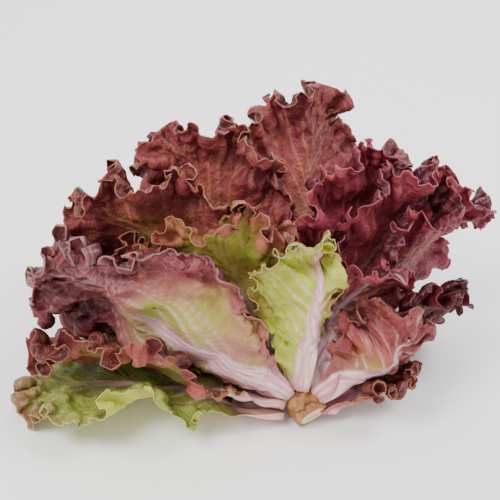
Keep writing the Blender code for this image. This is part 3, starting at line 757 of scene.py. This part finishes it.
    # Two sheets of faces, each closed along the rib, and a rim that joins them round the margin.
    columns, total = len(fine), len(fine) * rows
    index = np.arange(total).reshape(columns, rows)
    index[columns // 2 + 1:, 0] = index[:columns // 2, 0][::-1]
    front = np.stack([index[:-1, :-1], index[1:, :-1], index[1:, 1:], index[:-1, 1:]], axis=-1).reshape(-1, 4)
    rim = np.concatenate([index[:, -1], index[-1, -2::-1], index[0, 1:-1]])
    rim_next = np.roll(rim, -1)
    band = np.stack([rim, rim_next, rim_next + total, rim + total], axis=-1)
    quads = np.concatenate([front, front[:, ::-1] + total, band])
    used, quads = np.unique(quads, return_inverse=True)
    corners = np.concatenate([outer.reshape(-1, 3), inner.reshape(-1, 3)])[used]

    def on_both(values):
        return np.concatenate([values.ravel(), values.ravel()])[used]

    add_piece(name + "_blade", corners, quads.reshape(-1, 4).tolist(), node_name, finish,
              {"red": on_both(red), "pale": on_both(pale), "vein": on_both(vein), "edge": on_both(edge),
               "foot": on_both(dried_foot), "upper": np.repeat([0.0, 1.0], total)[used]},
              np.stack([on_both(x), on_both(y)], axis=-1) / MM)


# Fresh lettuce leaf: wet crisp tissue under a thin waxy skin. The back is duller and paler, the upper side is
# glossy. A net of fine pale veins about 5 mm apart covers it, and a painted highlight lightens the very edge.
def leaf_finish(name, back, upper, rib_pink, vein_net_and_highlight):
    material, tree, shader = new_material(name, Subsurface_Weight=0.12, Subsurface_Scale=0.001,
                                          Subsurface_Radius=(1.2, 0.6, 0.25), Specular_IOR_Level=0.3)
    field = {key: node(tree, "ShaderNodeAttribute", attribute_name=key).outputs["Fac"]
             for key in ("red", "pale", "vein", "edge", "foot", "upper")}
    on_leaf = node(tree, "ShaderNodeUVMap", uv_map="leaf_mm").outputs[0]
    grain = node(tree, "ShaderNodeTexNoise", {"Vector": on_leaf}, Scale=0.9, Detail=5.0).outputs[0]
    cloud = node(tree, "ShaderNodeTexNoise", {"Vector": on_leaf}, Scale=0.075, Detail=5.0).outputs[0]

    # Two nets of veins, about 5 and 2 mm apart, on places that a slow noise has moved.
    warp = node(tree, "ShaderNodeTexNoise", {"Vector": on_leaf}, Scale=0.11, Detail=2.0).outputs["Color"]
    warp = node(tree, "ShaderNodeVectorMath", {0: warp}, operation="SCALE", Scale=5.0).outputs[0]
    moved = node(tree, "ShaderNodeVectorMath", {0: on_leaf, 1: warp}, operation="ADD").outputs[0]
    nets = []
    for scale, stops in ((0.19, ((0.0, "#ffffff"), (0.05, "#9a9a9a"), (0.14, "#000000"))),
                         (0.5, ((0.0, "#8a8a8a"), (0.07, "#000000")))):
        cells = node(tree, "ShaderNodeTexVoronoi", {"Vector": moved}, feature="DISTANCE_TO_EDGE", Scale=scale)
        nets.append(node(tree, "ShaderNodeValToRGB", {0: cells.outputs["Distance"]}, stops).outputs[0])
    veiny = node(tree, "ShaderNodeMath", {0: nets[0], 1: nets[1]}, operation="MAXIMUM").outputs[0]
    veiny = node(tree, "ShaderNodeMath", {0: veiny, 1: 0.26}, operation="MULTIPLY").outputs[0]

    # Red and green in clouds, paler grain and veins, the rib's streaked flesh, a painted highlight along the
    # edge and a dried foot.
    redness = node(tree, "ShaderNodeMath", {0: cloud, 1: 0.5, 2: -0.25}, operation="MULTIPLY_ADD").outputs[0]
    redness = node(tree, "ShaderNodeMath", {0: field["red"], 1: redness}, operation="ADD").outputs[0]
    base = node(tree, "ShaderNodeValToRGB", {0: redness}, back).outputs[0]
    upper_colour = node(tree, "ShaderNodeValToRGB", {0: redness}, upper).outputs[0]
    speckle = node(tree, "ShaderNodeValToRGB", {0: grain}, ((0.35, "#000000"), (0.75, "#4a4a4a"))).outputs[0]
    side_vein = node(tree, "ShaderNodeMath", {0: field["vein"], 1: 0.5}, operation="MULTIPLY").outputs[0]
    streak = node(tree, "ShaderNodeMapping", {"Vector": on_leaf, "Scale": (0.7, 0.06, 1.0)}).outputs[0]
    streak = node(tree, "ShaderNodeTexNoise", {"Vector": streak}, Scale=1.0, Detail=3.0).outputs[0]
    streak = node(tree, "ShaderNodeValToRGB", {0: streak}, ((0.36, "#000000"), (0.62, "#ffffff"))).outputs[0]
    flesh = node(tree, "ShaderNodeMix", {0: streak, 6: "#f0d6cc", 7: rib_pink}, data_type="RGBA").outputs[2]
    # Painted highlight: the margin is mixed towards the pale colour of the vein net.
    painted_edge_highlight = node(tree, "ShaderNodeMath", {0: field["edge"], 1: 0.4}, operation="MULTIPLY").outputs[0]
    dried = node(tree, "ShaderNodeMath", {0: field["foot"], 1: grain}, operation="MULTIPLY").outputs[0]
    dried = node(tree, "ShaderNodeValToRGB", {0: dried}, ((0.22, "#000000"), (0.5, "#c8c8c8"))).outputs[0]
    for share, over in ((field["upper"], upper_colour), (speckle, vein_net_and_highlight), (veiny, vein_net_and_highlight), (side_vein, vein_net_and_highlight),
                        (field["pale"], flesh), (painted_edge_highlight, vein_net_and_highlight), (dried, "#9a6a3c")):
        base = node(tree, "ShaderNodeMix", {0: share, 6: base, 7: over}, data_type="RGBA").outputs[2]
    tree.links.new(base, shader.inputs["Base Color"])

    # The upper side is glossier, and wrinkles and veins stand out, less so on the rib.
    gloss = node(tree, "ShaderNodeMapRange", {"Value": field["upper"], "To Min": 0.5, "To Max": 0.3})
    tree.links.new(gloss.outputs[0], shader.inputs["Roughness"])
    wrinkle = node(tree, "ShaderNodeTexNoise", {"Vector": on_leaf}, Scale=0.42, Detail=4.0, Roughness=0.6)
    wrinkle = node(tree, "ShaderNodeMath", {0: wrinkle.outputs[0], 1: 2.2}, operation="MULTIPLY").outputs[0]
    relief = node(tree, "ShaderNodeMath", {0: veiny, 1: 2.4, 2: wrinkle}, operation="MULTIPLY_ADD").outputs[0]
    less = node(tree, "ShaderNodeMapRange", {"Value": field["pale"], "To Min": 1.0, "To Max": 0.25})
    relief = node(tree, "ShaderNodeMath", {0: relief, 1: less.outputs[0]}, operation="MULTIPLY").outputs[0]
    bump = node(tree, "ShaderNodeBump", {"Height": relief}, Strength=0.7, Distance=0.0007)
    tree.links.new(bump.outputs[0], shader.inputs["Normal"])
    return material


# The last colour of each finish is the pale vein net's. It is also painted along the margin as a highlight.
green_backed = leaf_finish(
    "fresh lettuce leaf, green with a red margin",
    ((0.0, "#bcc23a"), (0.3, "#a3a42c"), (0.52, "#97762c"), (0.7, "#8a4428"), (1.0, "#682026")),
    ((0.0, "#86943a"), (0.3, "#7e7c38"), (0.55, "#784630"), (0.8, "#5c1c26"), (1.0, "#440e1c")),
    "#e0949e", "#cccb7c")
pink_backed = leaf_finish(
    "fresh lettuce leaf, pale pink back",
    ((0.0, "#a2a838"), (0.16, "#aa8a4c"), (0.32, "#a26c54"), (0.5, "#924a46"), (0.72, "#7c2a36"),
     (1.0, "#601628")),
    ((0.0, "#8c9c38"), (0.35, "#86602c"), (0.6, "#622226"), (1.0, "#440c1a")),
    "#cc7c92", "#c8948a")
brown_backed = leaf_finish(
    "fresh lettuce leaf, red-brown back",
    ((0.0, "#a0a034"), (0.25, "#92722e"), (0.48, "#925038"), (0.72, "#883436"), (1.0, "#72222e")),
    ((0.0, "#748428"), (0.3, "#704224"), (0.55, "#5c181e"), (1.0, "#440a16")),
    "#c87c90", "#b47a5c")
dark_backed = leaf_finish(
    "fresh lettuce leaf, burgundy",
    ((0.0, "#969838"), (0.2, "#965a3a"), (0.42, "#9c4444"), (0.7, "#90303c"), (1.0, "#781c30")),
    ((0.0, "#5c6424"), (0.25, "#642426"), (0.5, "#5a1020"), (1.0, "#420a1a")),
    "#bc7490", "#b46468")
# Nearly black red: the heart leaves' own colour. On the low right outer leaf it is partly that leaf's own
# burgundy and partly painted shade.
heart_dark_and_painted_shade = leaf_finish(
    "young lettuce leaf, nearly black red, also painted shade",
    ((0.0, "#7c7034"), (0.3, "#621c22"), (1.0, "#4a0c16")),
    ((0.0, "#4a3a20"), (0.3, "#380c18"), (1.0, "#260510")),
    "#9c6078", "#86363e")

# What a leaf's look is, unless its own entry says otherwise.
PLAIN_LOOK = {"loops": 1.0, "roll": 0.0, "quilt": 1.0, "calm": 0.0, "red_from": 0.6, "red": 0.0,
              "least_red": 0.0, "green": 0.6, "green_to": 0.45, "green_margin": 0.0, "fan": 0.1,
              "rib_to": 0.6, "rib_wide": 1.0, "vein_wide": 1.0, "sweep": 0.4, "tip_red": 0.0}
looks = {
    "leaf_left_floor": (green_backed, {"red_from": 0.28, "red": -0.18, "calm": 0.5, "rib_to": 0.9}),
    "leaf_right_floor": (brown_backed, {"red_from": 0.5, "red": 0.05}),
    "leaf_right_front_low": (brown_backed, {"red_from": 0.7, "red": 0.12, "rib_to": 1.1, "green_to": 0.6,
                                            "rib_wide": 1.3, "vein_wide": 0.7}),
    # The low right leaf takes the heart's nearly black red and extra red. This is partly its own dark
    # burgundy and partly painted shade.
    "leaf_right_low": (heart_dark_and_painted_shade, {"red_from": 1.1, "red": 0.55, "green": 0.2}),
    "leaf_left_low": (brown_backed, {"red_from": 0.6, "red": -0.18, "roll": -0.1, "rib_to": 0.9}),
    "leaf_left_front": (pink_backed, {"red_from": 0.95, "red": 0.0, "least_red": 0.12, "tip_red": 0.45,
                                      "green": 0.55, "green_to": 0.6, "green_margin": 0.5, "calm": 0.8,
                                      "loops": 1.5, "roll": 0.4, "rib_to": 1.0, "quilt": 1.6, "fan": 0.12,
                                      "rib_wide": 1.35, "vein_wide": 1.3, "sweep": 0.8}),
    "leaf_under_right": (dark_backed, {"red_from": 0.8, "red": 0.1}),
    "leaf_under_left": (brown_backed, {"red_from": 0.8, "red": 0.1}),
    "leaf_centre_front": (green_backed, {"red_from": 0.1, "red": -0.15, "loops": 0.7, "rib_to": 1.1}),
    "leaf_right_front": (dark_backed, {"red_from": 0.5, "red": 0.0, "rib_to": 1.1}),
    "leaf_right_side": (dark_backed, {"red_from": 0.8, "red": 0.15}),
    "leaf_left_side": (brown_backed, {"red_from": 0.8, "red": 0.1}),
    "leaf_right_upper": (dark_backed, {"red_from": 0.8, "red": 0.12}),
    "leaf_left_upper": (brown_backed, {"red_from": 0.75, "red": 0.05}),
    "leaf_back_low": (brown_backed, {"red_from": 0.8, "red": 0.1}),
    "leaf_centre_upper": (brown_backed, {"red_from": 0.3, "red": -0.22, "loops": 1.2, "roll": 0.1}),
    "leaf_right_inner": (dark_backed, {"red_from": 0.9, "red": 0.2}),
    "leaf_back_right": (dark_backed, {"red_from": 0.8, "red": 0.15}),
    "leaf_left_inner": (brown_backed, {"red_from": 0.8, "red": 0.1}),
    "leaf_back_left": (brown_backed, {"red_from": 0.8, "red": 0.1}),
    "leaf_top": (brown_backed, {"red_from": 0.9, "red": 0.25}),
}

# Large leaves
# Twenty-one leaves, each a single blade that clasps the stem at its base. The outer ones are the greenest, as
# they lay in the shade of the ground, and the ones that stood in the light are the darkest red.

GREEN_SLOT = ("leaf_left_floor", "leaf_left_front", "leaf_centre_front", "leaf_right_front",
              "leaf_right_front_low")
OUT_OF_SIGHT = ("leaf_under_left", "leaf_under_right", "leaf_back_low")
# Columns to each step of the coarse grid, and rows from rib to margin.
FINENESS = (10, 33)
FRONT_FINENESS = (14, 38)
HIDDEN_FINENESS = (6, 18)
for name, leaf in leaves.items():
    fineness = FINENESS
    if name == "leaf_left_front":
        fineness = FRONT_FINENESS
    elif name in OUT_OF_SIGHT:
        fineness = HIDDEN_FINENESS
    finish, look = looks[name]
    slot = "green_leaf" if name in GREEN_SLOT else "red_leaf"
    blade_piece(name, leaf, fineness, finish, {**PLAIN_LOOK, **look}, name, slot)
    cover_with(cover, lie[name])


# Heart
# Five young leaves that have not opened, folded round the stem's growing tip, and the bud between them, whose
# leaves are still one pleated knob. They are the darkest and glossiest.

HEART_FINENESS = (6, 16)
BUD_SIDES = 60
BUD_ROWS = 24
BUD_FROM = 40 * MM
BUD_HEIGHT = 30 * MM
BUD_RADIUS = 7.6 * MM
BUD_RED = 0.5

for i, (name, leaf) in enumerate(heart_leaves.items()):
    look = {**PLAIN_LOOK, "loops": 0.6, "red": 0.3}
    blade_piece(name, leaf, HEART_FINENESS, heart_dark_and_painted_shade, look, "heart" if i == 0 else None, "heart_leaf")

turns, share = np.meshgrid(np.arange(BUD_SIDES) * 2 * math.pi / BUD_SIDES, np.linspace(0, 0.985, BUD_ROWS))
pleats = 1 + 0.14 * np.abs(np.sin(2.5 * turns + 3 * share)) - 0.05 * np.sin(9 * turns)
radius = BUD_RADIUS * (1 - share ** 2) ** 0.5 * pleats
bud = round_axis(turns, radius, BUD_FROM + BUD_HEIGHT * share).reshape(-1, 3)
bud = np.concatenate([bud, [[0, 0, BUD_FROM], [0, 0, BUD_FROM + BUD_HEIGHT]]])
around = np.append(turns.ravel() * BUD_RADIUS, [0, 0]) / MM
along = np.append(share.ravel() * BUD_HEIGHT, [0, BUD_HEIGHT]) / MM
bud_look = {key: np.zeros(len(bud)) for key in ("red", "pale", "vein", "edge", "foot", "upper")}
bud_look["red"] += BUD_RED
add_piece("heart_bud", to_world(bud) + shift, tube_faces(BUD_ROWS, BUD_SIDES), None, heart_dark_and_painted_shade,
          bud_look, np.stack([around, along], axis=-1))


# Table, light and camera
# A plain pale surface, painted matt, in soft studio light from above, from behind and from both sides. It is
# seen from the photograph's angle.

TABLE_WIDTH = 6.0
ROOM_LIGHT = 1.1
# Each softbox: its place, width and power, and what it is aimed at.
SOFTBOXES = (
    ((-0.5, -0.45, 1.0), 0.45, 13.0, (0, 0, 0.08)),
    ((0.6, 0.0, 0.9), 0.35, 8.5, (0, 0, 0.08)),
    ((0.0, 0.9, 0.7), 0.5, 6.0, (0, 0, 0.1)),
)
CAMERA_AIM = (-0.0035, 0.0, 0.074)
CAMERA_RISE = math.radians(36)
CAMERA_DISTANCE = 0.88

bpy.ops.object.select_all(action="DESELECT")
bpy.ops.mesh.primitive_plane_add(size=TABLE_WIDTH, location=(0, 0, 0))
floor = bpy.context.object
floor.name = "pale_table"
table_paint, _, _ = new_material("matt white paint", Roughness=0.8, Base_Color=colour("#fafaf8"))
floor.data.materials.append(table_paint)

world = bpy.data.worlds.new("studio")
bpy.context.scene.world = world
world.use_nodes = True
background = world.node_tree.nodes["Background"]
background.inputs["Color"].default_value = colour("#f4f5f7")
background.inputs["Strength"].default_value = ROOM_LIGHT
for place, width, power, aim in SOFTBOXES:
    light = bpy.data.lights.new("softbox", "AREA")
    light.size = width
    light.energy = power
    lamp = bpy.data.objects.new("softbox", light)
    bpy.context.scene.collection.objects.link(lamp)
    way = np.array(place) - np.array(aim)
    lamp.location = place
    tilt = math.acos(way[2] / np.linalg.norm(way))
    lamp.rotation_euler = (tilt, 0, math.atan2(way[1], way[0]) + math.pi / 2)

lens = bpy.data.cameras.new("camera")
lens.lens = 100
lens.sensor_width = 36
camera = bpy.data.objects.new("camera", lens)
bpy.context.scene.collection.objects.link(camera)
camera.location = (CAMERA_AIM[0], CAMERA_AIM[1] - CAMERA_DISTANCE * math.cos(CAMERA_RISE),
                   CAMERA_AIM[2] + CAMERA_DISTANCE * math.sin(CAMERA_RISE))
camera.rotation_euler = (math.pi / 2 - CAMERA_RISE, 0, 0)
bpy.context.scene.camera = camera
